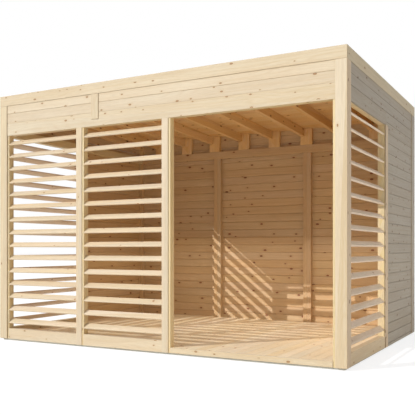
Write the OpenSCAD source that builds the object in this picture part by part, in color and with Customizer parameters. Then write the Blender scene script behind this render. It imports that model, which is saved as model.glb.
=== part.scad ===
// Flat-roofed timber garden pavilion with slatted wind screens and a wide doorway.
// Lengths in millimetres, angles in degrees. The floor plan is centred on the
// origin, the ground is at height zero and the doorway looks towards -Y.

/* [Overall] */
// Width over the corner boards, left to right
overall_w = 3370; // [2800:10:4050]
// Depth over the corner boards, front to back
overall_d = 2360; // [1960:10:2840]
// Height from the ground to the top of the upper trim
overall_h = 2306; // [2250:2:2770]

/* [Cladding and trim] */
// Thickness of the trim boards nailed over the cladding
trim_t = 6; // [4:1:24]
// Height of the trim boards round the top edge
top_trim_h = 96; // [60:1:120]
// Width of the corner boards on the front and back faces
corner_face_w = 90; // [70:1:105]
// Width of the front corner boards on the side faces, behind the face boards
corner_side_w = 92; // [60:1:100]
// Width of the rear corner boards on the side faces
corner_rear_w = 127; // [80:1:142]
// Width of the strips that cover the joints between wall parts
cover_w = 80; // [50:1:100]
// Thickness of the horizontal cladding boards
clad_t = 18; // [14:1:24]
// Height of the lowest board edge above the ground
ground_gap = 16; // [8:1:30]

/* [Base and floor] */
// Height of the bearers under the floor
bearer_h = 40; // [30:1:80]
// Width of one bearer
bearer_w = 60; // [40:1:80]
// Number of bearers between the front and back ones
bearer_n = 5; // [3:2:7]
// Thickness of the floor boards
deck_t = 20; // [16:1:28]

/* [Wall frames] */
// Depth of the frame timbers behind the cladding
frame_t = 45; // [35:1:60]
// Height of the top of the wall frames above the ground
wall_top = 2005; // [1700:5:2060]
// Height of the rails over the doorway and the screens
head_rail_h = 75; // [60:1:100]
// Height of the rail along the top of the back wall frame
back_rail_h = 88; // [60:1:110]
// Width of the posts at the two front corners, on both faces
corner_post_w = 102; // [84:1:114]
// Width of the post between the doorway and the screens
door_post_w = 80; // [60:1:110]
// Width of the stile between the two front screens
stile_w = 80; // [60:1:110]
// Width of the studs inside the back wall
back_stud_w = 90; // [60:1:110]
// Distance from a side face to the nearer joint in the back wall and front boards
wall_part_w = 1130; // [900:1:1350]
// Width of each half of the double stud in the side walls
side_stud_w = 45; // [40:1:60]
// Height of the board under each screen, down to its lower edge
sill_rail_h = 97; // [80:1:130]

/* [Screens] */
// Clear width of each of the two front screens
screen_w = 815; // [600:1:1000]
// Spacing of the slats, which sets how many fit in a screen
slat_pitch = 120; // [70:1:200]
// Width of a slat
slat_w = 56; // [40:1:67]
// Thickness of a slat
slat_t = 16; // [12:1:20]
// Lean of the slats, outer edge low
slat_tilt = 40; // [25:1:50]
// Thickness of the lining strips on the posts, into which the slat ends are let
lining_w = 19; // [12:1:24]
// Distance of a lining strip behind the face of its post
lining_set = 6; // [2:1:10]

/* [Front boards] */
// Height of the board over the doorway and the front screens
lintel_h = 118; // [80:1:140]
// Overlap of the front cover strip on that board
strip_overlap = 58; // [20:1:75]

/* [Roof] */
// Spacing of the rafters, counted from the right-hand edge rafter
rafter_pitch = 379; // [300:1:600]
// Width of a rafter
rafter_w = 45; // [35:1:60]
// Height of a rafter
rafter_h = 85; // [70:1:120]
// Width of the cleat beside a rafter end, on the same block as the rafter
cleat_w = 45; // [35:1:60]
// Width of the short post beside each block
short_post_w = 42; // [30:1:60]
// Thickness of the roof boards
roof_t = 18; // [14:1:24]
// Thickness of the roofing felt
felt_t = 4; // [2:0.5:6]
// Drop of the roof from the front to the back
roof_fall = 95; // [40:1:150]
// Distance of the felt below the top of the trim at the front
roof_drop = 7; // [1:1:12]

/* [Hidden] */
half_w = overall_w / 2;
half_d = overall_d / 2;
// depth of each layer behind the outermost faces
clad_out = trim_t;
clad_in = trim_t + clad_t;
frame_in = clad_in + frame_t;
// heights of the floor, the openings and the boards over them
floor_z = bearer_h + deck_t;
head_z = wall_top - head_rail_h;
rail_top = ground_gap + sill_rail_h;
lintel_top = head_z + lintel_h;
trim_low = overall_h - top_trim_h;
// the three plain parts of the front, measured from the right-hand face
door_right = trim_t + corner_post_w;
screen_left = overall_w - door_right;
stile_s = screen_left - screen_w - stile_w;
door_post_s = stile_s - screen_w - door_post_w;
// the side screens and the joint in the middle of each side wall
side_stile_t = half_d - side_stud_w;
side_screen_w = side_stile_t - door_right;
// the joint in the front boards, over the screens
board_joint_s = overall_w - wall_part_w;
// the stack of slats that fits between a rail and the head of a screen
slat_room = head_z - rail_top;
slat_n = floor(slat_room / slat_pitch);
slat_low = rail_top + (slat_room - (slat_n - 1) * slat_pitch) / 2;
// the roof
inner_w = overall_w - 2 * clad_in;
inner_d = overall_d - 2 * clad_in;
rafter_n = floor((inner_w - 2 * rafter_w) / rafter_pitch);
rafter_top_front = overall_h - roof_drop - felt_t - roof_t;
slope = roof_fall / inner_d;
bearer_gap = (inner_d - 2 * bearer_w) / (bearer_n + 1);

white_wood = [0.86, 0.76, 0.60];
warm_wood = [0.80, 0.64, 0.44];
grey_wood = [0.45, 0.47, 0.46];
felt_grey = [0.22, 0.23, 0.24];

// part to build, or all of them

// Box given by its distances from the right-hand face, the front face and the ground.
module block(s0, s1, t0, t1, z0, z1) {
    translate([half_w - s1, t0 - half_d, z0])
        cube([s1 - s0, t1 - t0, z1 - z0]);
}

// The same thing on both sides of the middle plane.
module both_sides() {
    children();
    mirror([1, 0, 0]) children();
}

// Outline in depth and height, drawn out along the width.
module long_profile(s0, s1, points) {
    translate([half_w - s1, 0, 0])
        rotate([90, 0, 90])
            linear_extrude(height = s1 - s0)
                polygon([for (p = points) [p[0] - half_d, p[1]]]);
}

// Top of the rafters at a distance behind the front face.
function rafter_top(t) = rafter_top_front - (t - clad_in) * slope;

// A sloping layer between two distances, at two heights above the rafter tops.
function sloped(t0, t1, low, high) = [
    [t0, rafter_top(t0) + low], [t1, rafter_top(t1) + low],
    [t1, rafter_top(t1) + high], [t0, rafter_top(t0) + high]
];

// From a level underside up to the sloping underside of something above it.
function wedge(t0, t1, z0, high) = [
    [t0, z0], [t1, z0], [t1, rafter_top(t1) + high], [t0, rafter_top(t0) + high]
];

// Where the rafters stand, from the right-hand face.
function rafter_s(i) = clad_in + i * rafter_pitch;

// ---- base and floor ----

module base_ends() {
    color(grey_wood) {
        block(clad_in, overall_w - clad_in, clad_in, clad_in + bearer_w, 0, bearer_h);
        block(clad_in, overall_w - clad_in, overall_d - clad_in - bearer_w,
              overall_d - clad_in, 0, bearer_h);
    }
}

module base_sides() {
    color(grey_wood)
        both_sides()
            block(clad_in, clad_in + bearer_w, clad_in + bearer_w,
                  overall_d - clad_in - bearer_w, 0, bearer_h);
}

module base_joists() {
    first = clad_in + bearer_w;
    color(grey_wood)
        for (i = [1 : bearer_n]) {
            mid = first + i * bearer_gap;
            block(first, overall_w - first, mid - bearer_w / 2, mid + bearer_w / 2,
                  0, bearer_h);
        }
}

module floor_deck() {
    color(warm_wood)
        block(clad_in, overall_w - clad_in, clad_in, overall_d - clad_in,
              bearer_h, floor_z);
}

module door_sill() {
    color(white_wood)
        block(door_right, door_post_s, clad_out, clad_in, ground_gap, floor_z);
}

// ---- wall frames ----

// Timber of a screen frame: full depth above the floor, a thin tongue below it.
module frame_timber(s0, s1, top) {
    block(s0, s1, clad_out, frame_in, floor_z, top);
    block(s0, s1, clad_out, clad_in, ground_gap, floor_z);
}

// Lining strip on one side of a post of the front, from the lower board edge up.
module lining_strip(s0) {
    face = clad_out + lining_set;
    block(s0, s0 + lining_w, face, frame_in, floor_z, head_z);
    block(s0, s0 + lining_w, face, clad_in, ground_gap, floor_z);
}

module corner_posts() {
    color(white_wood)
        difference() {
            both_sides() {
                frame_timber(clad_out, door_right - lining_w, head_z);
                lining_strip(door_right - lining_w);
                block(clad_out, frame_in, frame_in, door_right, floor_z, head_z);
                block(clad_out, clad_in, clad_in, door_right, ground_gap, floor_z);
            }
            slats_front_left();
        }
}

module door_post() {
    color(white_wood) {
        frame_timber(door_post_s + lining_w, door_post_s + door_post_w, head_z);
        lining_strip(door_post_s);
    }
}

module front_stile() {
    color(white_wood)
        difference() {
            union() {
                frame_timber(stile_s + lining_w, stile_s + stile_w, head_z);
                lining_strip(stile_s);
            }
            slats_front_right();
        }
}

module side_stiles() {
    face = clad_out + lining_set;
    lining_end = side_stile_t + lining_w;
    color(white_wood)
        both_sides() {
            difference() {
                block(face, frame_in, side_stile_t, lining_end, floor_z, head_z);
                slats_right();
            }
            block(face, clad_in, side_stile_t, lining_end, ground_gap, floor_z);
            block(clad_out, frame_in, lining_end, half_d, floor_z, head_z);
            block(clad_out, clad_in, lining_end, half_d, ground_gap, floor_z);
            block(clad_in, frame_in, half_d, half_d + side_stud_w, floor_z, head_z);
        }
}

module front_rails() {
    color(white_wood) {
        frame_timber(door_post_s + door_post_w, stile_s, rail_top);
        frame_timber(stile_s + stile_w, screen_left, rail_top);
    }
}

module side_rails() {
    color(white_wood)
        both_sides() {
            block(clad_out, frame_in, door_right, side_stile_t, floor_z, rail_top);
            block(clad_out, clad_in, door_right, side_stile_t, ground_gap, floor_z);
        }
}

module front_head_rail() {
    color(warm_wood)
        block(clad_in, overall_w - clad_in, clad_in, frame_in, head_z, wall_top);
}

module side_head_rails() {
    color(warm_wood)
        both_sides()
            block(clad_in, frame_in, frame_in, overall_d - frame_in, head_z, wall_top);
}

module back_rail() {
    color(warm_wood)
        block(clad_in, overall_w - clad_in, overall_d - frame_in,
              overall_d - clad_in, wall_top - back_rail_h, wall_top);
}

module back_studs() {
    color(warm_wood)
        both_sides()
            block(wall_part_w - back_stud_w / 2, wall_part_w + back_stud_w / 2,
                  overall_d - frame_in, overall_d - clad_in, floor_z,
                  wall_top - back_rail_h);
}

module rear_corner_studs() {
    color(warm_wood)
        both_sides()
            block(clad_in, frame_in, overall_d - frame_in, overall_d - clad_in,
                  floor_z, wall_top - back_rail_h);
}

// ---- slatted screens ----

// Stack of slats of one length, standing in the middle of the frame depth.
module slat_stack(length) {
    for (i = [0 : slat_n - 1])
        translate([0, 0, slat_low + i * slat_pitch])
            rotate([slat_tilt, 0, 0])
                translate([0, -slat_w / 2, -slat_t / 2])
                    cube([length, slat_w, slat_t]);
}

module slats_front(s0) {
    color(white_wood)
        translate([half_w - s0 - screen_w - lining_w,
                   (clad_out + frame_in) / 2 - half_d, 0])
            slat_stack(screen_w + lining_w);
}

module slats_front_left() {
    slats_front(stile_s + stile_w);
}

module slats_front_right() {
    slats_front(door_post_s + door_post_w);
}

module slats_right() {
    color(white_wood)
        translate([half_w - (clad_out + frame_in) / 2, door_right - half_d, 0])
            rotate([0, 0, 90])
                slat_stack(side_screen_w + lining_w);
}

module slats_left() {
    mirror([1, 0, 0]) slats_right();
}

// ---- cladding ----

module back_cladding() {
    color(white_wood)
        block(clad_out, overall_w - clad_out, overall_d - clad_in,
              overall_d - clad_out, ground_gap, overall_h);
}

module side_cladding_rear() {
    color(white_wood)
        both_sides()
            block(clad_out, clad_in, half_d, overall_d - clad_in,
                  ground_gap, overall_h);
}

module side_cladding_over_screen() {
    color(white_wood)
        both_sides()
            block(clad_out, clad_in, clad_in, half_d, head_z, overall_h);
}

module lintel_board() {
    color(white_wood)
        block(clad_out, overall_w - clad_out, clad_out, clad_in, head_z, lintel_top);
}

module front_boards_left() {
    color(white_wood)
        block(board_joint_s, overall_w - clad_out, clad_out, clad_in,
              lintel_top, overall_h);
}

module front_boards_right() {
    color(white_wood)
        block(clad_out, board_joint_s, clad_out, clad_in, lintel_top, overall_h);
}

// ---- trim ----

module top_trim_ends() {
    color(white_wood) {
        block(0, overall_w, 0, trim_t, trim_low, overall_h);
        block(0, overall_w, overall_d - trim_t, overall_d, trim_low, overall_h);
    }
}

module top_trim_sides() {
    color(white_wood)
        both_sides()
            block(0, trim_t, trim_t, overall_d - trim_t, trim_low, overall_h);
}

module corner_boards_face() {
    color(white_wood)
        both_sides() {
            block(0, corner_face_w, 0, trim_t, ground_gap, trim_low);
            block(0, corner_face_w, overall_d - trim_t, overall_d,
                  ground_gap, trim_low);
        }
}

module corner_boards_side() {
    color(white_wood)
        both_sides() {
            block(0, trim_t, trim_t, trim_t + corner_side_w, ground_gap, trim_low);
            block(0, trim_t, overall_d - trim_t - corner_rear_w,
                  overall_d - trim_t, ground_gap, trim_low);
        }
}

module cover_strip_front() {
    color(white_wood)
        block(board_joint_s - cover_w / 2, board_joint_s + cover_w / 2,
              0, trim_t, lintel_top - strip_overlap, trim_low);
}

module cover_strips_side() {
    color(white_wood)
        both_sides()
            block(0, trim_t, half_d - cover_w / 2, half_d + cover_w / 2,
                  ground_gap, head_z);
}

module cover_strips_back() {
    color(white_wood)
        both_sides()
            block(wall_part_w - cover_w / 2, wall_part_w + cover_w / 2,
                  overall_d - trim_t, overall_d, ground_gap, trim_low);
}

// ---- roof ----

module rafters() {
    color(warm_wood)
        for (i = [1 : rafter_n])
            long_profile(rafter_s(i), rafter_s(i) + rafter_w,
                         sloped(clad_in, overall_d - clad_in, -rafter_h, 0));
}

module edge_rafters() {
    color(warm_wood)
        both_sides()
            long_profile(clad_in, clad_in + rafter_w,
                         sloped(clad_in, overall_d - clad_in, -rafter_h, 0));
}

// The same profile at every rafter between the edges, from s0 to s1 beside it.
module at_rafters(s0, s1, profile) {
    for (i = [1 : rafter_n])
        long_profile(rafter_s(i) + s0, rafter_s(i) + s1, profile);
}

// Blocks on the wall frame that carry the rafter ends and the cleats.
module rafter_blocks() {
    for (t = [clad_in, overall_d - frame_in]) {
        profile = wedge(t, t + frame_t, wall_top, -rafter_h);
        color(warm_wood) {
            at_rafters(-cleat_w, rafter_w, profile);
            both_sides() long_profile(clad_in, clad_in + rafter_w, profile);
        }
    }
}

// Cleats on the blocks, beside the rafter ends, up to the roof boards.
module rafter_cleats() {
    for (t = [clad_in, overall_d - frame_in])
        color(warm_wood)
            at_rafters(-cleat_w, 0, sloped(t, t + frame_t, -rafter_h, 0));
}

// Short posts beside the blocks, from the wall frame up to the roof boards.
module short_posts() {
    for (t = [clad_in, overall_d - frame_in])
        color(warm_wood)
            at_rafters(-cleat_w - short_post_w, -cleat_w, wedge(t, t + frame_t, wall_top, 0));
}

module roof_boards() {
    color(warm_wood)
        long_profile(clad_in, overall_w - clad_in,
                     sloped(clad_in, overall_d - clad_in, 0, roof_t));
}

module roof_felt() {
    color(felt_grey)
        long_profile(clad_in, overall_w - clad_in,
                     sloped(clad_in, overall_d - clad_in, roof_t, roof_t + felt_t));
}

base_ends();
base_sides();
base_joists();
floor_deck();
door_sill();
corner_posts();
door_post();
front_stile();
side_stiles();
front_rails();
side_rails();
front_head_rail();
side_head_rails();
back_rail();
back_studs();
rear_corner_studs();
slats_front_left();
slats_front_right();
slats_left();
slats_right();
back_cladding();
side_cladding_rear();
side_cladding_over_screen();
lintel_board();
front_boards_left();
front_boards_right();
top_trim_ends();
top_trim_sides();
corner_boards_face();
corner_boards_side();
cover_strip_front();
cover_strips_side();
cover_strips_back();
rafters();
edge_rafters();
rafter_blocks();
rafter_cleats();
short_posts();
roof_boards();
roof_felt();
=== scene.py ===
"""Looks of the garden pavilion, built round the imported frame: boards, timbers, felt, light and camera."""

import math

import bmesh
import bpy
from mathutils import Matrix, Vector


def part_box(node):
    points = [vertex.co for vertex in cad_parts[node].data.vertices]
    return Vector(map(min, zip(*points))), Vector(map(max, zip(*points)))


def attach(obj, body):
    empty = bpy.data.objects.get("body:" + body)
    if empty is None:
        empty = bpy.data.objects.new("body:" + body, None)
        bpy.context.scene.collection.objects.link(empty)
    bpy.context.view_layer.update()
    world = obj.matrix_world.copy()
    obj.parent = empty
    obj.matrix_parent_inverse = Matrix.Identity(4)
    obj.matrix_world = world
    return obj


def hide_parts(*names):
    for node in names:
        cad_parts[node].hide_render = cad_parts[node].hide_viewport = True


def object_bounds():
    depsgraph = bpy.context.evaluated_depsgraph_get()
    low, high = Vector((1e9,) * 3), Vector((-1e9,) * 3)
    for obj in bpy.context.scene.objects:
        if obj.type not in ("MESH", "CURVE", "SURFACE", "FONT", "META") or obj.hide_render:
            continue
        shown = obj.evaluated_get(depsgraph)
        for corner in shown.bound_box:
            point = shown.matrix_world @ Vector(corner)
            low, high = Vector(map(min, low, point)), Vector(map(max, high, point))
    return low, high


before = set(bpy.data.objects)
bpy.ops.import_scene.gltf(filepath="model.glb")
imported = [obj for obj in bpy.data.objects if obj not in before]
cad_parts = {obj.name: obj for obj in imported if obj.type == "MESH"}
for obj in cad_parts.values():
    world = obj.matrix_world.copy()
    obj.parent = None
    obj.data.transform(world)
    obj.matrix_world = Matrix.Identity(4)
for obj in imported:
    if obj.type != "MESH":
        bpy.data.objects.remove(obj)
CAD_LOW, CAD_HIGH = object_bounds()

scene = bpy.context.scene

# ---- sizes read from the frame, in metres ----

def levels(name, axis):
    """The places along an axis where a CAD node has corners, from low to high."""
    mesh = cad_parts[name].data
    return sorted({round(vert.co[axis], 4) for vert in mesh.vertices})


SIDE_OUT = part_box("back_cladding")[1].x
CLAD_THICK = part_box("back_cladding")[1].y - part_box("back_cladding")[0].y
SIDE_IN = SIDE_OUT - CLAD_THICK
WALL_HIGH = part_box("back_cladding")[1].z
LINTEL_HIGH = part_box("lintel_board")[1].z
ROOF_LOW, ROOF_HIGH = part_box("roof_boards")
ROOF_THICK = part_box("roof_felt")[0].z - ROOF_LOW.z
ROOF_SLOPE = (ROOF_HIGH.z - ROOF_LOW.z - ROOF_THICK) / (ROOF_HIGH.y - ROOF_LOW.y)
FELT_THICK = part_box("roof_felt")[1].z - ROOF_HIGH.z
LINING_SEAM, LINING_EDGE = levels("door_post", 0)[-2:]
LINING = LINING_EDGE - LINING_SEAM

# ---- sizes of the boards ----

BOARD_PITCH = 0.0873
TONGUE = 0.0055
SLOT = 0.0075
THINNEST = 0.012
# room left where two pieces fit together
SLACK = 0.0002
# gap between two boards, bevel of their outer edges, bevel of their edges on the room side
FACE_JOINT = 0.0012, 0.0022, 0.0034
WALL_JOINT = 0.0026, 0.0035, 0.0045
LAID_JOINT = 0.0009, 0.0016, 0.0024
# how far the sharp edges of the timbers are taken back
EASE = 0.0020
SLAT_EASE = 0.0036
TRIM_EASE = 0.0034
# gap between a post and its lining, and the easing of the edges beside it
SEAM = 0.0003
SEAM_EASE = 0.0011
# corners nearer than this are one corner
WELD = 0.00005


def srgb(red, green, blue):
    """A linear colour from one written as 0 to 255."""
    def linear(value):
        value /= 255
        return value / 12.92 if value <= 0.04045 else ((value + 0.055) / 1.055) ** 2.4
    return linear(red), linear(green), linear(blue), 1.0


# ---- materials ----

class Net:
    """Adds nodes to one material and links them as it goes."""

    def __init__(self, name):
        self.material = bpy.data.materials.new(name)
        self.material.use_nodes = True
        self.tree = self.material.node_tree
        self.shader = self.tree.nodes["Principled BSDF"]

    def node(self, kind, **settings):
        node = self.tree.nodes.new("ShaderNode" + kind)
        for key, value in settings.items():
            setattr(node, key, value)
        return node

    def put(self, socket, value):
        if isinstance(value, bpy.types.NodeSocket):
            self.tree.links.new(value, socket)
        else:
            socket.default_value = value

    def math(self, operation, *values):
        node = self.node("Math", operation=operation)
        for socket, value in zip(node.inputs, values):
            self.put(socket, value)
        return node.outputs["Value"]

    def vector(self, operation, *values):
        node = self.node("VectorMath", operation=operation)
        for socket, value in zip(node.inputs, values):
            self.put(socket, value)
        return node.outputs["Value" if operation == "LENGTH" else "Vector"]

    def scale(self, vector, factor):
        node = self.node("VectorMath", operation="SCALE")
        self.put(node.inputs[0], vector)
        self.put(node.inputs["Scale"], factor)
        return node.outputs["Vector"]

    def ramp(self, value, low, high, to_low=0.0, to_high=1.0):
        node = self.node("MapRange", interpolation_type="SMOOTHSTEP")
        for name, part in (("Value", value), ("From Min", low), ("From Max", high),
                           ("To Min", to_low), ("To Max", to_high)):
            self.put(node.inputs[name], part)
        return node.outputs["Result"]

    def mix(self, factor, first, second):
        node = self.node("Mix", data_type="RGBA")
        colours = [socket for socket in node.inputs if socket.type == "RGBA"]
        self.put(node.inputs["Factor"], factor)
        self.put(colours[0], first)
        self.put(colours[1], second)
        return next(socket for socket in node.outputs if socket.type == "RGBA")

    def noise(self, place, stretch, detail=2.0):
        node = self.node("TexNoise")
        self.put(node.inputs["Vector"], self.vector("MULTIPLY", place, stretch))
        self.put(node.inputs["Scale"], 1.0)
        self.put(node.inputs["Detail"], detail)
        return node.outputs["Fac"]

    def split(self, vector, kind="SeparateXYZ"):
        node = self.node(kind)
        self.put(node.inputs[0], vector)
        return node.outputs

    def bump(self, height, strength, distance):
        node = self.node("Bump")
        self.put(node.inputs["Strength"], strength)
        self.put(node.inputs["Distance"], distance)
        self.put(node.inputs["Height"], height)
        self.put(self.shader.inputs["Normal"], node.outputs["Normal"])


KNOT_CELL = (0.23, 0.10, 0.10)


def grain_place(net, axes, seed):
    """Place along the grain, across it and through the timber, different for each timber."""
    parts = net.split(net.node("TexCoord").outputs["Object"])
    chance = net.node("NewGeometry").outputs["Random Per Island"]
    place = net.node("CombineXYZ")
    for socket, axis, step in zip(place.inputs, axes, (61.0, 23.0, 11.0)):
        shift = net.math("MULTIPLY_ADD", chance, step, seed)
        net.put(socket, net.math("ADD", parts["XYZ".index(axis)], shift))
    return place.outputs[0], chance


def knot_marks(net, place, flat, share, radius):
    """Knots in some cells of a lattice: how much is knot, how much its dark rim, and the nearness."""
    lattice = net.vector("DIVIDE", place, KNOT_CELL)
    if flat:
        lattice = net.vector("MULTIPLY", lattice, (1.0, 1.0, 0.0))
    voronoi = net.node("TexVoronoi", feature="F1")
    if flat:
        voronoi.voronoi_dimensions = "2D"
    net.put(voronoi.inputs["Vector"], lattice)
    net.put(voronoi.inputs["Scale"], 1.0)
    net.put(voronoi.inputs["Randomness"], 0.9)
    draw = net.split(voronoi.outputs["Color"], "SeparateColor")
    away = net.vector("SUBTRACT", lattice, voronoi.outputs["Position"])
    squeeze = (KNOT_CELL[0] * 0.52, KNOT_CELL[1], KNOT_CELL[2])
    distance = net.vector("LENGTH", net.vector("MULTIPLY", away, squeeze))
    ragged = net.noise(place, (160.0, 160.0, 160.0))
    distance = net.math("MULTIPLY_ADD", ragged, 0.003, distance)
    small, large = radius
    size = net.math("MULTIPLY_ADD", draw[0], large - small, small)
    near = net.math("DIVIDE", net.math("SUBTRACT", distance, 0.0015), size)
    there = net.math("LESS_THAN", draw[1], share)
    core = net.math("MULTIPLY", net.ramp(near, 0.70, 1.15, 1.0, 0.0), there)
    rim = net.math("MULTIPLY", net.ramp(near, 0.35, 0.85), core)
    halo = net.math("MULTIPLY", net.ramp(near, 0.9, 3.6, 1.0, 0.0), there)
    return core, rim, halo


def ring_marks(net, place, halo):
    """Growth rings that run with the grain and bend round the knots."""
    drift = net.noise(place, (0.9, 7.0, 7.0), 1.0)
    parts = net.split(place)
    turns = net.math("MULTIPLY_ADD", parts["Y"], 70.0, net.math("MULTIPLY", drift, 16.0))
    turns = net.math("MULTIPLY_ADD", parts["Z"], 40.0, turns)
    turns = net.math("MULTIPLY_ADD", halo, 1.6, turns)
    wave = net.math("SINE", net.math("MULTIPLY", turns, 2 * math.pi))
    return net.math("POWER", net.math("MULTIPLY_ADD", wave, 0.5, 0.5), 3.0)


def own_tone(net, colour, chance, spread):
    """Gives each timber a tone a little off the rest."""
    dice = net.node("TexWhiteNoise", noise_dimensions="1D")
    net.put(dice.inputs["W"], net.math("MULTIPLY", chance, 97.0))
    draw = net.split(dice.outputs["Color"], "SeparateColor")
    tone = net.node("HueSaturation")
    steps = (("Hue", 0.008, 0.5), ("Saturation", 0.20, 1.0), ("Value", 0.10, 1.0))
    for part, (name, width, middle) in zip(draw, steps):
        width *= spread
        net.put(tone.inputs[name], net.math("MULTIPLY_ADD", part, width, middle - width / 2))
    net.put(tone.inputs["Color"], colour)
    return tone.outputs["Color"]


def wood(name, axes, tones, flat=True, share=0.45, radius=(0.004, 0.009), spread=1.0, seed=0.0):
    """Planed spruce. axes names the directions along the grain, across it and through the timber."""
    pale, deep, knot = tones
    net = Net(name)
    place, chance = grain_place(net, axes, seed)
    core, rim, halo = knot_marks(net, place, flat, share, radius)
    rings = ring_marks(net, place, halo)
    fibre = net.noise(place, (14.0, 520.0, 520.0))
    streak = net.noise(place, (1.4, 60.0, 60.0), 3.0)
    patch = net.noise(place, (1.1, 6.0, 6.0))

    colour = net.mix(net.ramp(patch, 0.3, 0.7, 0.0, 0.35), pale, deep)
    colour = net.mix(net.ramp(streak, 0.35, 0.75, 0.0, 0.40), colour, deep)
    colour = net.mix(net.math("MULTIPLY", rings, 0.28), colour, deep)
    colour = own_tone(net, colour, chance, spread)
    colour = net.scale(colour, net.ramp(fibre, 0.25, 0.75, 0.92, 1.05))
    colour = net.mix(net.math("MULTIPLY", halo, 0.40), colour, deep)
    colour = net.mix(core, colour, [1.8 * part for part in knot[:3]] + [1.0])
    colour = net.mix(rim, colour, knot)
    net.put(net.shader.inputs["Base Color"], colour)
    net.put(net.shader.inputs["Roughness"], net.math("MULTIPLY_ADD", streak, 0.16, 0.52))
    height = net.math("MULTIPLY_ADD", rings, 0.5, fibre)
    net.bump(net.math("MULTIPLY_ADD", rim, -1.5, height), 0.25, 0.0006)
    return net.material


def mineral_felt():
    """Roofing felt with a mineral face: dark granules, some pale, over slow patches."""
    net = Net("mineral_felt")
    place = net.node("TexCoord").outputs["Object"]
    grains = net.node("TexVoronoi", feature="F1")
    net.put(grains.inputs["Vector"], place)
    net.put(grains.inputs["Scale"], 480.0)
    draw = net.split(grains.outputs["Color"], "SeparateColor")
    patch = net.noise(place, (1.7, 1.7, 1.7), 4.0)
    dust = net.noise(place, (26.0, 26.0, 26.0), 3.0)
    colour = net.mix(net.ramp(draw[0], 0.3, 1.0), srgb(70, 73, 74), srgb(112, 115, 116))
    colour = net.mix(net.ramp(draw[1], 0.90, 0.96), colour, srgb(160, 162, 160))
    colour = net.scale(colour, net.ramp(patch, 0.3, 0.7, 0.86, 1.10))
    colour = net.mix(net.ramp(dust, 0.5, 0.8, 0.0, 0.35), colour, srgb(128, 124, 112))
    net.put(net.shader.inputs["Base Color"], colour)
    net.put(net.shader.inputs["Roughness"], net.ramp(draw[2], 0.0, 1.0, 0.80, 0.98))
    net.bump(grains.outputs["Distance"], 0.6, 0.0010)
    return net.material


CREAM = srgb(213, 196, 167), srgb(199, 173, 135), srgb(130, 97, 62)
SLAT = srgb(225, 207, 178), srgb(213, 187, 150), srgb(140, 96, 62)
# Brighter, yellower copy for the post linings and head rails: painted light bounced from the sunlit ground
# and slats.
BOUNCE_YELLOW = srgb(222, 202, 160), srgb(212, 186, 140), srgb(140, 94, 56)
# Darker, warmer copy of the spruce for the room side: painted warm shade of the room.
HONEY_ROOM_SHADE = srgb(209, 179, 138), srgb(189, 151, 107), srgb(108, 60, 34)
# Brighter, yellower copy for the rafters, blocks and roof boards seen from below: painted light bounced up
# from the floor.
GOLD_UNDERLIT = srgb(232, 195, 139), srgb(214, 167, 106), srgb(110, 62, 30)
FLOORING = srgb(247, 230, 198), srgb(238, 211, 166), srgb(160, 114, 76)
# Darker copy for the side trims: partly their own tan tone, partly painted shade of the side away from the
# sun.
TAN_SHADED = srgb(207, 187, 161), srgb(194, 168, 137), srgb(96, 62, 40)
PINK = srgb(230, 213, 193), srgb(219, 195, 170), srgb(128, 88, 60)
# Darker, duller copy of the cream for the top trims of the sides: painted shade of the side away from the
# sun.
DULL_SHADED = srgb(200, 186, 160), srgb(186, 166, 132), srgb(112, 76, 50)
# Greyer, bluer copy of the spruce for the outer boards of the sides and back: partly the boards' own greyer
# tone, partly painted shade and blue sky light of the faces away from the sun.
SHADED = srgb(164, 155, 142), srgb(150, 136, 118), srgb(84, 58, 42)
TREATED = srgb(206, 205, 197), srgb(180, 178, 168), srgb(120, 112, 98)
BIG_KNOTS = {"share": 0.55, "radius": (0.005, 0.010), "spread": 0.6}
POST = {"flat": False, "share": 0.4}
SMALL_KNOTS = {"share": 0.80, "radius": (0.0035, 0.0080), "spread": 0.5}

pale_across = wood("pale_across", "XZY", CREAM, **SMALL_KNOTS)
pale_deep = wood("pale_deep", "YZX", CREAM, **SMALL_KNOTS)
# Top trims of the sides: painted shade.
dull_shaded_deep = wood("dull_shaded_deep", "YZX", DULL_SHADED, **SMALL_KNOTS)
pale_upright = wood("pale_upright", "ZXY", CREAM, **POST)
slat_across = wood("slat_across", "XZY", SLAT, radius=(0.003, 0.006))
slat_deep = wood("slat_deep", "YZX", PINK, radius=(0.003, 0.006))
# Side trims: partly painted shade.
tan_shaded_upright = wood("tan_shaded_upright", "ZYX", TAN_SHADED, **SMALL_KNOTS)
# The greyer tone on the rear corner boards and the back cover strips: partly painted shade.
grey_shaded_upright = wood("grey_shaded_upright", "ZYX", SHADED)
# Linings and head rails: painted bounce light.
bounce_yellow_across = wood("bounce_yellow_across", "XZY", BOUNCE_YELLOW, **POST)
bounce_yellow_deep = wood("bounce_yellow_deep", "YZX", BOUNCE_YELLOW, **POST)
bounce_yellow_upright = wood("bounce_yellow_upright", "ZXY", BOUNCE_YELLOW, **POST)
# Materials for the room side: painted warm shade of the room.
room_shade_across = wood("room_shade_across", "XZY", HONEY_ROOM_SHADE, **BIG_KNOTS)
room_shade_deep = wood("room_shade_deep", "YZX", HONEY_ROOM_SHADE, **BIG_KNOTS)
# Ceiling timbers: painted light bounced up from the floor.
gold_underlit_deep = wood("gold_underlit_deep", "YZX", GOLD_UNDERLIT, **BIG_KNOTS)
gold_underlit_upright = wood("gold_underlit_upright", "ZXY", GOLD_UNDERLIT, flat=False, **BIG_KNOTS)
# Room-side studs: painted warm shade of the room.
room_shade_upright = wood("room_shade_upright", "ZXY", HONEY_ROOM_SHADE, flat=False, **BIG_KNOTS)
gold_underlit_roof = wood("gold_underlit_roof", "XYZ", GOLD_UNDERLIT, **BIG_KNOTS)
floor_planks = wood("floor_planks", "YXZ", FLOORING, share=0.3)
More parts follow.
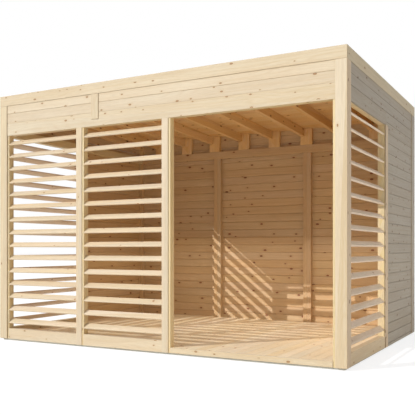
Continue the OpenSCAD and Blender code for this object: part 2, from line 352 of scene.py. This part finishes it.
# The greyer tone on the outer faces of the side and back boards: partly painted shade.
grey_shaded_deep = wood("grey_shaded_deep", "YZX", SHADED, **SMALL_KNOTS)
grey_shaded_across = wood("grey_shaded_across", "XZY", SHADED, **SMALL_KNOTS)
treated_across = wood("treated_across", "XZY", TREATED, flat=False)
treated_deep = wood("treated_deep", "YZX", TREATED, flat=False)
felt = mineral_felt()


# ---- shapes ----

def span(verts):
    """Lowest and highest corner of some vertices."""
    low = Vector(min(v.co[i] for v in verts) for i in range(3))
    high = Vector(max(v.co[i] for v in verts) for i in range(3))
    return low, high


def copy_of(name):
    """A copy of the shape of a CAD node, with its split faces joined."""
    mesh = bmesh.new()
    mesh.from_mesh(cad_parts[name].data)
    bmesh.ops.remove_doubles(mesh, verts=mesh.verts, dist=WELD)
    return mesh


def solids(name):
    """The box of each separate solid of a CAD node, from left to right and front to back."""
    mesh = copy_of(name)
    left = set(mesh.verts)
    boxes = []
    while left:
        island = [left.pop()]
        for vert in island:
            for edge in vert.link_edges:
                other = edge.other_vert(vert)
                if other in left:
                    left.remove(other)
                    island.append(other)
        boxes.append(span(island))
    mesh.free()
    return sorted(boxes, key=lambda pair: tuple(round(part, 4) for part in pair[0]))


class Prisms:
    """A piece made of separate timbers."""

    def __init__(self):
        self.mesh = bmesh.new()

    def add(self, outline, axis, start, end, inner=None):
        """An outline, in pairs of the other two axes, drawn out along one; inner marks its room side."""
        def point(pair, along):
            place = list(pair)
            place.insert("XYZ".index(axis), along)
            return self.mesh.verts.new(place)
        first = [point(pair, start) for pair in outline]
        last = [point(pair, end) for pair in outline]
        count = len(outline)
        self.mesh.faces.new(first)
        self.mesh.faces.new(reversed(last))
        for i in range(count):
            j = (i + 1) % count
            face = self.mesh.faces.new((first[i], first[j], last[j], last[i]))
            # Room-side faces take the second material; on the wall boards that material is painted warm
            # shade of the room.
            if inner and inner[i] and inner[j]:
                face.material_index = 1

    def bar(self, low, high, ease=EASE, index=0):
        """A planed timber between two corners, with all its edges eased."""
        made = bmesh.ops.create_cube(self.mesh, size=1.0)["verts"]
        for vert in made:
            for i in range(3):
                vert.co[i] = low[i] if vert.co[i] < 0 else high[i]
        edges = {edge for vert in made for edge in vert.link_edges}
        for face in {face for vert in made for face in vert.link_faces}:
            face.material_index = index
        bmesh.ops.bevel(self.mesh, geom=sorted(edges, key=lambda edge: edge.index), offset=ease,
                        segments=2, affect="EDGES", profile=0.5)

    def take(self, part):
        """Adds a finished shape."""
        data = bpy.data.meshes.new("part")
        part.to_mesh(data)
        part.free()
        self.mesh.from_mesh(data)
        bpy.data.meshes.remove(data)

    def finish(self, name, materials, slot, *nodes):
        bmesh.ops.recalc_face_normals(self.mesh, faces=self.mesh.faces)
        data = bpy.data.meshes.new(name)
        self.mesh.to_mesh(data)
        self.mesh.free()
        for material in materials:
            data.materials.append(material)
        piece = bpy.data.objects.new(name, data)
        scene.collection.objects.link(piece)
        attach(piece, "root")
        if nodes:
            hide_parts(*nodes)
        return piece


# ---- walls, floor and roof of single boards ----

def board_outline(outer, inner, low, high, slotted, tongued, joint):
    """Section of a tongue-and-groove board with bevelled edges, and which points are on its inner half."""
    side = 1 if inner > outer else -1
    thick = abs(inner - outer)
    third = thick / 3
    _, bevel, room_bevel = joint
    points = [(0, low + bevel), (bevel, low)]
    if slotted:
        points += [(third, low), (third, low + SLOT), (2 * third, low + SLOT), (2 * third, low)]
    points += [(thick - room_bevel, low), (thick, low + room_bevel)]
    points += [(thick, high - room_bevel), (thick - room_bevel, high)]
    if tongued:
        points += [(2 * third - SLACK, high), (2 * third - SLACK, high + TONGUE),
                   (third + SLACK, high + TONGUE), (third + SLACK, high)]
    points += [(bevel, high), (0, high - bevel)]
    return [(outer + side * d, w) for d, w in points], [d > thick / 2 for d, w in points]


def rows(low, high, gap):
    """The boards that fill a height, as (low, high, slotted, tongued); one joint is on the lintel."""
    step = LINTEL_HIGH + math.floor((low - LINTEL_HIGH) / BOARD_PITCH) * BOARD_PITCH
    joints = []
    while step < high:
        if low + THINNEST < step < high - THINNEST:
            joints.append(step)
        step += BOARD_PITCH
    edges = [low, *joints, high]
    last = len(edges) - 2
    for i in range(len(edges) - 1):
        top = edges[i + 1] - (gap if i < last else 0)
        yield edges[i], top, i > 0, i < last


def wall_boards(piece, axis, outer, inner, low, high, start, end, joint=WALL_JOINT):
    """Horizontal boards that close part of a wall, drawn along one axis."""
    for bottom, top, slotted, tongued in rows(low, high, joint[0]):
        outline, inside = board_outline(outer, inner, bottom, top, slotted, tongued, joint)
        piece.add(outline, axis, start, end, inside)


def make_back_wall():
    low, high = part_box("back_cladding")
    joints = [(stud_low.x + stud_high.x) / 2 for stud_low, stud_high in solids("back_studs")]
    ends = [low.x, *joints, high.x]
    piece = Prisms()
    for start, end in zip(ends, ends[1:]):
        wall_boards(piece, "X", high.y, low.y, low.z, high.z, start, end)
    # Outer faces: greyer tone, partly painted shade. Room side: darker, warmer tone, painted warm shade of
    # the room.
    piece.finish("back_boards", [grey_shaded_across, room_shade_across], "boards_across", "back_cladding")


def make_side_wall(side, name):
    rear_low, rear_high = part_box("side_cladding_rear")
    over_low, over_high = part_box("side_cladding_over_screen")
    outer, inner = side * SIDE_OUT, side * SIDE_IN
    top = LINTEL_HIGH - WALL_JOINT[0]
    piece = Prisms()
    wall_boards(piece, "Y", outer, inner, LINTEL_HIGH, rear_high.z, over_low.y, rear_high.y)
    wall_boards(piece, "Y", outer, inner, rear_low.z, top, rear_low.y, rear_high.y)
    outline, inside = board_outline(outer, inner, over_low.z, top, False, True, WALL_JOINT)
    piece.add(outline, "Y", over_low.y, over_high.y, inside)
    # Outer faces: greyer tone, partly painted shade. Room side: darker, warmer tone, painted warm shade of
    # the room.
    piece.finish(name, [grey_shaded_deep, room_shade_deep], "boards_deep",
                 "side_cladding_rear", "side_cladding_over_screen")


def make_front_boards(name, node):
    low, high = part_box(node)
    piece = Prisms()
    wall_boards(piece, "X", low.y, high.y, low.z, high.z, low.x, high.x, FACE_JOINT)
    # Front face pale; room side darker and warmer, painted warm shade of the room.
    piece.finish(name, [pale_across, room_shade_across], "boards_across", node)


def laid_boards(low, high):
    """Boards of even width that fill a length, as (start, end, slotted, tongued)."""
    count = round((high - low) / BOARD_PITCH)
    pitch = (high - low) / count
    for i in range(count):
        start = low + i * pitch
        yield start, start + pitch - LAID_JOINT[0], i > 0, i < count - 1


def make_floor():
    low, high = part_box("floor_deck")
    piece = Prisms()
    for start, end, slotted, tongued in laid_boards(low.x, high.x):
        outline, _ = board_outline(high.z, low.z, start, end, slotted, tongued, LAID_JOINT)
        piece.add([(w, d) for d, w in outline], "Y", low.y, high.y)
    piece.finish("floor_boards", [floor_planks], "floor", "floor_deck")


def roof_top(y):
    """Height of the top of the roof boards."""
    return ROOF_HIGH.z - (y - ROOF_LOW.y) * ROOF_SLOPE


def make_roof_boards():
    piece = Prisms()
    for start, end, slotted, tongued in laid_boards(ROOF_LOW.y, ROOF_HIGH.y):
        outline, _ = board_outline(-ROOF_THICK, 0, start, end, slotted, tongued, LAID_JOINT)
        piece.add([(w, roof_top(w) + d) for d, w in outline], "X", ROOF_LOW.x, ROOF_HIGH.x)
    # Roof boards in the golden tone: painted light bounced up from the floor.
    piece.finish("roof_deck_boards", [gold_underlit_roof], "roof_boards", "roof_boards")


FELT_WIDTH = 0.90
FELT_LAP = 0.09
FELT_TURN_LOW = 0.012
FELT_SHEET = 0.0024
# length over which a sheet climbs onto the next, and the room that the lower sheet leaves it
FELT_CLIMB = 0.010
FELT_STEP = 0.012
# how far the turned-up sheet reaches past the place where the roof meets its edge
FELT_REACH = 0.05


def make_felt():
    """Sheets laid across the fall, each lapped over the next lower one, and turned up at the walls."""
    piece = Prisms()
    low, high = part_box("roof_felt")
    start = low.y
    while start < high.y:
        end = min(start + FELT_WIDTH, high.y)
        lap = end - FELT_LAP
        top = [(start, FELT_SHEET), (lap, FELT_SHEET), (lap + FELT_CLIMB, FELT_THICK), (end, FELT_THICK)]
        over = FELT_SHEET + SLACK
        under = [(end, over), (lap + FELT_STEP, over), (lap, 0), (start, 0)]
        if end == high.y:
            top = [(start, FELT_SHEET), (end, FELT_SHEET)]
            under = [(end, 0), (start, 0)]
        outline = [(y, roof_top(y) + rise) for y, rise in top + under]
        piece.add(outline, "X", low.x, high.x)
        if end == high.y:
            break
        start = lap + FELT_STEP
    edge = WALL_HIGH - FELT_TURN_LOW
    meet = ROOF_LOW.y + (ROOF_HIGH.z + FELT_THICK - edge) / ROOF_SLOPE + FELT_REACH
    back = high.y - FELT_SHEET
    turn = [(meet, roof_top(meet) + FELT_THICK), (back, roof_top(back) + FELT_THICK),
            (back, edge), (meet, edge)]
    for side in (-1, 1):
        wall = side * high.x
        piece.add(turn, "X", *sorted((wall, wall - side * FELT_SHEET)))
    foot = roof_top(back) + FELT_THICK
    piece.add([(back, foot), (high.y, foot), (high.y, edge), (back, edge)], "X", low.x, high.x)
    piece.finish("felt_sheets", [felt], "felt", "roof_felt")


# ---- posts, studs and trim ----

def saw(part, axis, place, way):
    """Takes away what lies beyond a place along an axis, and closes the cut."""
    plane = [0.0, 0.0, 0.0]
    normal = [0.0, 0.0, 0.0]
    plane[axis] = place
    normal[axis] = way
    everything = part.verts[:] + part.edges[:] + part.faces[:]
    made = bmesh.ops.bisect_plane(part, geom=everything, plane_co=plane, plane_no=normal,
                                  clear_outer=True)
    rim = [item for item in made["geom_cut"] if isinstance(item, bmesh.types.BMEdge)]
    bmesh.ops.edgeloop_fill(part, edges=rim)


def make_sawn(node, name, axis, places, kinds):
    """Parts of a CAD node between some places along an axis: posts (kind 0) and linings (kind 1)."""
    ends = [None, *places, None]
    piece = Prisms()
    for low, high, kind in zip(ends, ends[1:], kinds):
        part = copy_of(node)
        if low is not None:
            saw(part, axis, low + SEAM / 2, -1)
        if high is not None:
            saw(part, axis, high - SEAM / 2, 1)
        for face in part.faces:
            face.material_index = kind
        piece.take(part)
    # Posts pale; linings brighter and yellower, painted bounce light.
    made = piece.finish(name, [pale_upright, bounce_yellow_upright], "uprights", node)
    ease_edges(made, SEAM_EASE)


def make_posts():
    """The posts of the front and sides, each with its set-back lining strip."""
    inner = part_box("door_sill")[1].x + LINING
    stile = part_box("front_stile")[1].x - LINING
    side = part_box("side_stiles")[0].y + LINING
    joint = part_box("side_cladding_rear")[0].y
    make_sawn("corner_posts", "corner_post_timbers", 0, (-inner, inner), (0, 1, 0))
    make_sawn("door_post", "door_post_timbers", 0, (LINING_SEAM,), (0, 1))
    make_sawn("front_stile", "front_stile_timbers", 0, (stile,), (0, 1))
    make_sawn("side_stiles", "side_stile_timbers", 1, (side, joint), (1, 0, 0))


def make_side_corner_boards():
    """The corner boards of the side faces: those at the front pale, those at the rear greyer. Both tones
    are darker than the cream of the front: partly their own tone, partly painted shade of this side, which
    faces away from the sun.
    """
    piece = Prisms()
    for low, high in solids("corner_boards_side"):
        piece.bar(low, high, index=0 if low.y < 0 else 1)
    piece.finish("side_corner_boards", [tan_shaded_upright, grey_shaded_upright], "uprights", "corner_boards_side")


def make_back_studs():
    """Two studs side by side at each joint of the back wall."""
    piece = Prisms()
    for low, high in solids("back_studs"):
        middle = (low.x + high.x) / 2
        piece.bar(low, (middle, high.y, high.z))
        piece.bar((middle, low.y, low.z), high)
    # Studs in a darker, warmer tone: painted warm shade of the room.
    piece.finish("double_studs", [room_shade_upright], "studs", "back_studs")


TIMBERS = {
    "pale_across": ("lintel_board", "top_trim_ends", "front_rails", "door_sill"),
    "slat_across": ("slats_front_left", "slats_front_right"),
    "slat_deep": ("slats_left", "slats_right"),
    "pale_deep": ("side_rails",),
    "dull_shaded_deep": ("top_trim_sides",),
    "pale_upright": ("corner_boards_face", "cover_strip_front"),
    "tan_shaded_upright": ("cover_strips_side",),
    "grey_shaded_upright": ("cover_strips_back",),
    "bounce_yellow_across": ("front_head_rail",),
    "bounce_yellow_deep": ("side_head_rails",),
    "room_shade_across": ("back_rail",),
    "gold_underlit_deep": ("rafters", "edge_rafters"),
    "gold_underlit_upright": ("rafter_blocks", "rafter_cleats", "short_posts"),
    "room_shade_upright": ("rear_corner_studs",),
    "treated_across": ("base_ends", "base_joists"),
    "treated_deep": ("base_sides",),
}


EASINGS = {
    "slats_front_left": SLAT_EASE, "slats_front_right": SLAT_EASE,
    "slats_left": SLAT_EASE, "slats_right": SLAT_EASE,
    "top_trim_ends": TRIM_EASE, "top_trim_sides": TRIM_EASE,
    "corner_boards_face": TRIM_EASE, "cover_strip_front": TRIM_EASE,
}


def ease_edges(timber, width):
    """Joins the split faces of a timber and takes the sharpness off its edges."""
    weld = timber.modifiers.new("joined", "WELD")
    weld.merge_threshold = WELD
    bevel = timber.modifiers.new("eased", "BEVEL")
    bevel.width = width
    bevel.segments = 3
    bevel.limit_method = "ANGLE"
    bevel.angle_limit = math.radians(30)


def dress_timbers():
    for material_name, node_names in TIMBERS.items():
        for node_name in node_names:
            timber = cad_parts[node_name]
            timber.material_slots[0].material = bpy.data.materials[material_name]
            ease_edges(timber, EASINGS.get(node_name, EASE))


# ---- ground, light and camera ----

AZIMUTH = math.radians(28.63)
CAMERA = Vector((CAD_HIGH.x + 1.335, CAD_LOW.y - 4.498, 0.863))
LENS = 56.56
SENSOR = 36.0
FARTHEST = 200.0
SHIFT_Y = 0.0996
SUN_WAY = Vector((0.81, 1.0, -0.64))
SUN_POWER = 2.6
SUN_ANGLE = math.radians(0.3)
SKY_COLOUR = (0.90, 0.95, 1.0, 1.0)
# the sky is brightest this way, and dims towards the horizon and the rear right
SKY_WAY = (-0.25, -0.35, 0.90)
SKY_RAMP = 0.15, 0.80
SKY_POWER = 0.08, 0.80
# each soft lamp: place, what it points at, width and height, colour, power
SOFT_LAMPS = {
    "fill": (Vector((7.5, -3.2, 0.9)), Vector((0.6, 0.0, 0.9)), (3.0, 1.5), (1.0, 0.80, 0.52), 45.0),
    "low": (Vector((4.0, 0.9, 0.15)), Vector((1.7, 0.9, 0.3)), (1.6, 0.3), (1.0, 0.88, 0.68), 13.0),
    "room": (Vector((0.1, 0.40, 1.0)), Vector((0.1, 0.40, 0.0)), (2.9, 1.1), (1.0, 0.95, 0.88), 7.0),
    "cross": (Vector((1.55, 0.0, 0.7)), Vector((0.0, 0.0, 0.7)), (1.8, 1.1), (1.0, 0.84, 0.58), 2.0),
}
GROUND_REACH = 60.0
GROUND_COLOUR = (0.90, 0.88, 0.84, 1.0)
SEEN_GROUND = 0.30
SEEN_GLOW = 0.78
WHITE = (1.0, 1.0, 1.0, 1.0)


def make_camera():
    data = bpy.data.cameras.new("camera")
    data.lens = LENS
    data.sensor_width = SENSOR
    data.shift_y = SHIFT_Y
    data.clip_end = FARTHEST
    camera = bpy.data.objects.new("camera", data)
    camera.location = CAMERA
    camera.rotation_euler = (math.radians(90), 0, AZIMUTH)
    scene.collection.objects.link(camera)
    scene.camera = camera


def make_sun():
    data = bpy.data.lights.new("sun", "SUN")
    data.energy = SUN_POWER
    data.angle = SUN_ANGLE
    sun = bpy.data.objects.new("sun", data)
    sun.rotation_euler = SUN_WAY.to_track_quat("-Z", "Y").to_euler()
    scene.collection.objects.link(sun)


def make_soft_lamp(name):
    """A wide soft lamp that lifts a part that the sun leaves in the shade."""
    place, aim, size, colour, power = SOFT_LAMPS[name]
    data = bpy.data.lights.new(name, "AREA")
    data.shape = "RECTANGLE"
    data.size, data.size_y = size
    data.color = colour
    data.energy = power
    lamp = bpy.data.objects.new(name, data)
    lamp.location = place
    lamp.rotation_euler = (aim - place).to_track_quat("-Z", "Y").to_euler()
    lamp.visible_camera = False
    scene.collection.objects.link(lamp)


def seen_directly(tree):
    """1 for rays that show the background itself, 0 for those that carry its light."""
    path = tree.nodes.new("ShaderNodeLightPath")
    total = path.outputs["Is Camera Ray"]
    for name in ("Is Glossy Ray", "Is Transmission Ray"):
        most = tree.nodes.new("ShaderNodeMath")
        most.operation = "MAXIMUM"
        tree.links.new(total, most.inputs[0])
        tree.links.new(path.outputs[name], most.inputs[1])
        total = most.outputs[0]
    return total


def make_world():
    world = bpy.data.worlds.new("world")
    scene.world = world
    world.use_nodes = True
    tree = world.node_tree
    sky = tree.nodes["Background"]
    sky.inputs["Color"].default_value = SKY_COLOUR
    nearness = tree.nodes.new("ShaderNodeVectorMath")
    nearness.operation = "DOT_PRODUCT"
    nearness.inputs[1].default_value = SKY_WAY
    tree.links.new(tree.nodes.new("ShaderNodeTexCoord").outputs["Generated"], nearness.inputs[0])
    power = tree.nodes.new("ShaderNodeMapRange")
    power.interpolation_type = "SMOOTHSTEP"
    power.inputs["From Min"].default_value, power.inputs["From Max"].default_value = SKY_RAMP
    power.inputs["To Min"].default_value, power.inputs["To Max"].default_value = SKY_POWER
    tree.links.new(nearness.outputs["Value"], power.inputs["Value"])
    tree.links.new(power.outputs["Result"], sky.inputs["Strength"])
    white = tree.nodes.new("ShaderNodeBackground")
    white.inputs["Color"].default_value = WHITE
    mix = tree.nodes.new("ShaderNodeMixShader")
    tree.links.new(seen_directly(tree), mix.inputs["Fac"])
    tree.links.new(sky.outputs[0], mix.inputs[1])
    tree.links.new(white.outputs[0], mix.inputs[2])
    tree.links.new(mix.outputs[0], tree.nodes["World Output"].inputs["Surface"])


def make_ground():
    data = bpy.data.meshes.new("ground")
    reach = GROUND_REACH
    corners = [(-reach, -reach, 0), (reach, -reach, 0), (reach, reach, 0), (-reach, reach, 0)]
    data.from_pydata(corners, [], [(0, 1, 2, 3)])
    ground = bpy.data.objects.new("ground", data)
    scene.collection.objects.link(ground)
    net = Net("ground")
    net.shader.inputs["Base Color"].default_value = GROUND_COLOUR
    net.shader.inputs["Roughness"].default_value = 0.9
    net.shader.inputs["Specular IOR Level"].default_value = 0.0
    shade = net.node("BsdfDiffuse")
    shade.inputs["Color"].default_value = (SEEN_GROUND, SEEN_GROUND, SEEN_GROUND, 1.0)
    glow = net.node("Emission")
    glow.inputs["Strength"].default_value = SEEN_GLOW
    both = net.node("AddShader")
    net.put(both.inputs[0], shade.outputs[0])
    net.put(both.inputs[1], glow.outputs[0])
    mix = net.node("MixShader")
    net.put(mix.inputs["Fac"], seen_directly(net.tree))
    net.put(mix.inputs[1], net.shader.outputs[0])
    net.put(mix.inputs[2], both.outputs[0])
    net.put(net.tree.nodes["Material Output"].inputs["Surface"], mix.outputs[0])
    data.materials.append(net.material)


make_camera()
make_sun()
for lamp_name in SOFT_LAMPS:
    make_soft_lamp(lamp_name)
make_world()
make_ground()
scene.view_settings.view_transform = "Standard"

make_back_wall()
make_side_wall(1, "side_boards_right")
make_side_wall(-1, "side_boards_left")
make_front_boards("fascia_boards_left", "front_boards_left")
make_front_boards("fascia_boards_right", "front_boards_right")
make_floor()
make_roof_boards()
make_felt()
make_posts()
make_side_corner_boards()
make_back_studs()
dress_timbers()
